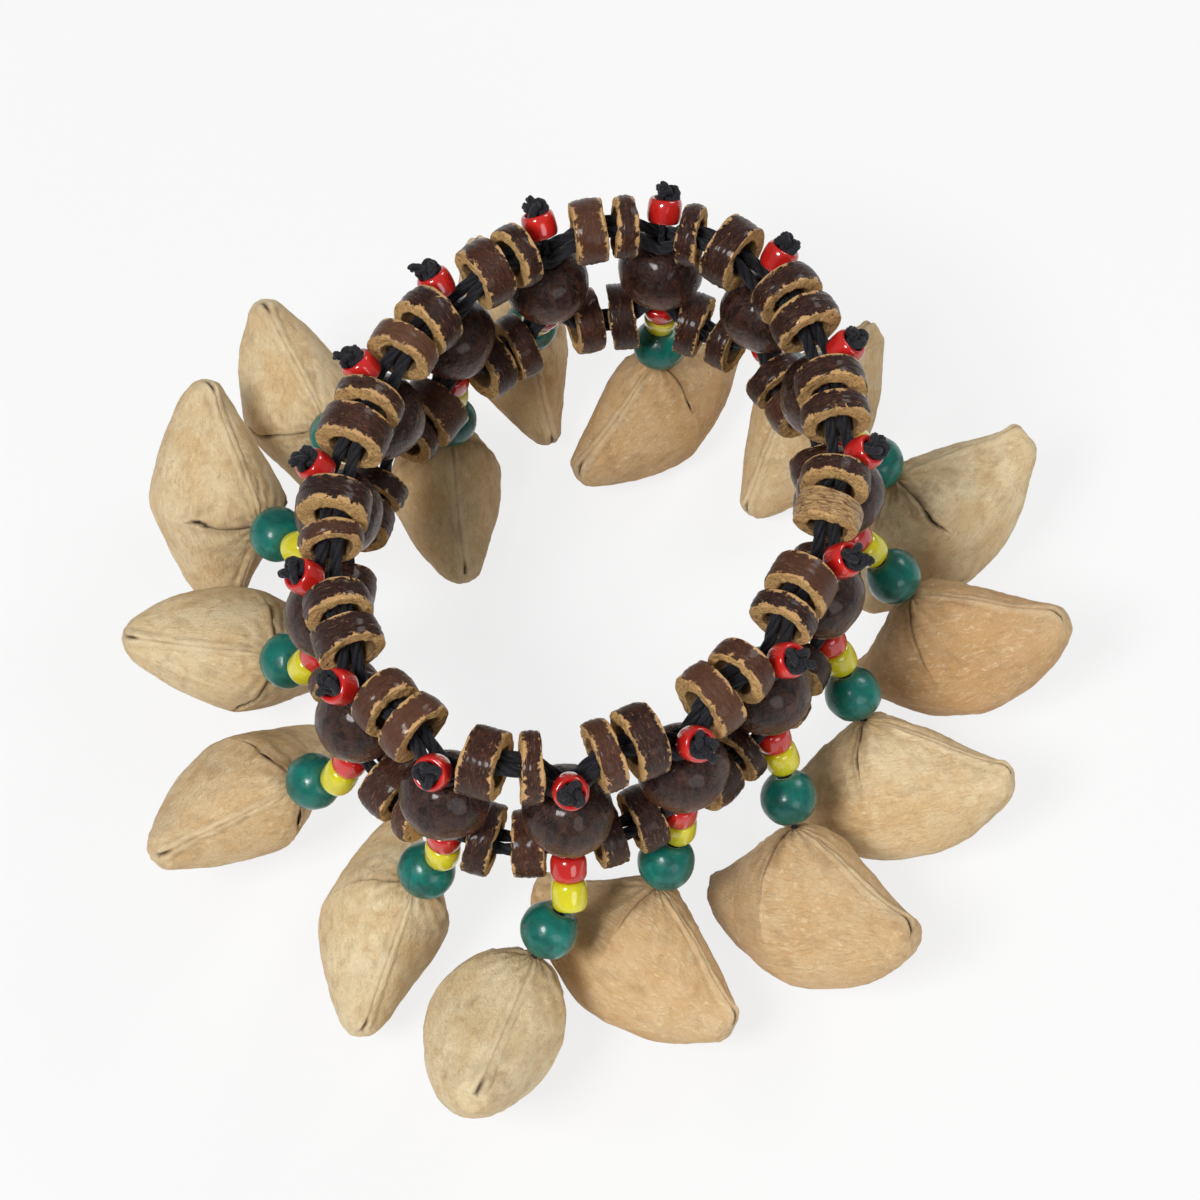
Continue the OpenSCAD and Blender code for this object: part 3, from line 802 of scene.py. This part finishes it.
angle = np.linspace(0, TAU, 40, endpoint=False)
hoop = RIM_RADIUS * np.stack([np.cos(angle), np.sin(angle), np.zeros_like(angle)], 1)
station_chunks, knot_list, rim_chunks = [], [], []
for k, (pivot, _, _) in enumerate(joints):
    wood, top, collar = woods[k][0], tops[k][0], collars[k][0]
    top_axis = tops[k][1] * np.sign(tops[k][1][2])
    half_wood, half_top = bead_size(woods[k])[1] / 2, bead_size(tops[k])[1] / 2
    bend = UP * (half_wood + BEND)
    spots = [pivot, collar, wood - bend, wood - UP * STRAIGHT, wood + UP * STRAIGHT, wood + bend, top,
             top + top_axis * TOP_END]
    station_chunks += thin_cord(spline(spots, 8))
    points = knots[k][2]
    base = top + top_axis * (half_top + KNOT_RISE)
    tail = points[int(np.argmax(np.linalg.norm(points - base, axis=1)))]
    knot_list += knot_chunks(base, basis(top_axis, outward[k]), TOP_KNOT, TOP_SPIN * k, tail)
    rim = hoop + wood - UP * (half_wood + RIM_GAP)
    rim_chunks += plied(rim, plies=2, spread=0.12, ply_radius=0.15, lay=1.1, sides=6, closed=True, side=hoop)
piece("station_cords", station_chunks, cord_look, "band", "station_cords")
piece("top_knots", knot_list, cord_look, "band", "top_knots")
piece("rim_threads", rim_chunks, thread_look, "band", None)


# Drops

# Gap between a yellow bead and its drop cord, and the depths under the hole of the cord's end,
# its knot and the knot's cut end
START_GAP, LEAD_END, KNOT_DEPTH, TAIL_DEPTH = 0.85, 4.2, 4.8, 6.6
STOP_KNOT, STOP_SPIN = 0.9, 1.7
GREEN_SEED = 50

for k, (pivot, _, number) in enumerate(joints):
    body, ball, shell, cord = (kind + number for kind in ("drop_", "green_bead_", "nutshell_", "drop_cord_"))
    centre, _, points = solids(ball)[0]
    axis = unit(pivot - centre)
    turn = basis(axis, outward[k])
    chunk = bead_chunk(bead_size((centre, axis, points)), bore=0.85, edge=0.6, seed=GREEN_SEED + k,
                       sides=48, rough=0.14)
    piece(ball, [placed(chunk, centre, turn)], green_look, body, ball)
    hole, nut_turn, size = nut_frame(shell, pivot, centre)
    chunk = nut_chunk(*size, k + 1, NUT_TAN_AND_SHADE[k])
    piece(shell, [placed(chunk, hole, nut_turn)], nut_look, body, shell)
    start = pivot - axis * (bead_size(yellows[k])[0] / 2 + START_GAP)
    lead = spline([start, centre, hole, hole - axis * LEAD_END], 6)
    stop = knot_chunks(hole - axis * KNOT_DEPTH, turn, STOP_KNOT, STOP_SPIN * k, hole - axis * TAIL_DEPTH)
    piece(cord, thin_cord(lead) + stop, cord_look, body, cord)


# Floor, light and camera, in metres and watts

WHITE = (1.0, 1.0, 1.0, 1.0)
# How far the floor goes, how far it lies under the part, and how much of it shows as plain white
FLOOR_REACH, FLOOR_GAP, WHITE_SHARE = 4.0, 0.0002, 0.8
# Strength of the sky as a light, and as it is seen
SKY_LIGHT, SKY_SEEN = 0.24, 1.0
# Name, place, width and power of each lamp
LAMPS = (("key", (-0.35, -0.45, 0.75), 0.3, 6.7), ("fill", (0.42, -0.65, 0.3), 0.45, 1.3),
         ("back", (0.5, 0.45, 0.6), 0.35, 2.2))
# The photo's width, focal length and shift in pixels, and where it was taken from
PHOTO, FOCAL, SHIFT = 1200, 3960, (14, -72)
ELEVATION, DISTANCE = math.radians(58), 0.55
SENSOR = 36.0


def seen(tree):
    """Share of the rays that look straight at the background or see it mirrored."""
    path = tree.nodes.new("ShaderNodeLightPath")
    total = path.outputs["Is Camera Ray"]
    for ray in ("Is Glossy Ray", "Is Transmission Ray"):
        either = tree.nodes.new("ShaderNodeMath")
        either.operation = "MAXIMUM"
        tree.links.new(total, either.inputs[0])
        tree.links.new(path.outputs[ray], either.inputs[1])
        total = either.outputs["Value"]
    return total


def stage_material():
    """Pale floor that shows as white and keeps a soft shadow."""
    s = Shader("floor", Roughness=0.9, Specular_IOR_Level=0.1, Base_Color=colour(226, 226, 226))
    white = s.node("Emission", {"Color": WHITE, "Strength": 1.0})
    share = s.math("MULTIPLY", seen(s.tree), WHITE_SHARE)
    both = s.node("MixShader", {0: share, 1: s.bsdf.outputs["BSDF"], 2: white.outputs["Emission"]})
    s.tree.links.new(both.outputs["Shader"], s.tree.nodes["Material Output"].inputs["Surface"])
    return s.material


def area_light(name, place, size, power):
    """Round lamp turned to the origin."""
    data = bpy.data.lights.new(name, "AREA")
    data.shape, data.size, data.energy = "DISK", size, power
    lamp = add(name, data)
    lamp.location = place
    lamp.rotation_mode = "QUATERNION"
    lamp.rotation_quaternion = (-Vector(place)).to_track_quat("-Z", "Y")


floor_mesh = bpy.data.meshes.new("floor")
corners = [(x * FLOOR_REACH, y * FLOOR_REACH, cad_box[0][2] - FLOOR_GAP)
           for x, y in ((-1, -1), (1, -1), (1, 1), (-1, 1))]
floor_mesh.from_pydata(corners, [], [(0, 1, 2, 3)])
floor_mesh.materials.append(stage_material())
floor = add("floor", floor_mesh)

world = bpy.data.worlds.new("studio")
scene.world = world
world.use_nodes = True
tree = world.node_tree
sky = tree.nodes["Background"]
sky.inputs["Color"].default_value = WHITE
strength = tree.nodes.new("ShaderNodeMapRange")
strength.inputs["To Min"].default_value, strength.inputs["To Max"].default_value = SKY_LIGHT, SKY_SEEN
rays = tree.nodes.new("ShaderNodeLightPath")
tree.links.new(rays.outputs["Is Camera Ray"], strength.inputs["Value"])
tree.links.new(strength.outputs["Result"], sky.inputs["Strength"])
for lamp in LAMPS:
    area_light(*lamp)

camera_data = bpy.data.cameras.new("camera")
camera_data.sensor_width = SENSOR
camera_data.lens = SENSOR * FOCAL / PHOTO
camera_data.shift_x, camera_data.shift_y = SHIFT[0] / PHOTO, SHIFT[1] / PHOTO
camera_data.clip_start, camera_data.clip_end = 0.01, 20.0
camera = add("camera", camera_data)
camera.location = (0.0, -DISTANCE * math.cos(ELEVATION), DISTANCE * math.sin(ELEVATION))
camera.rotation_euler = (math.pi / 2 - ELEVATION, 0.0, 0.0)
scene.camera = camera
scene.view_settings.view_transform = "Standard"
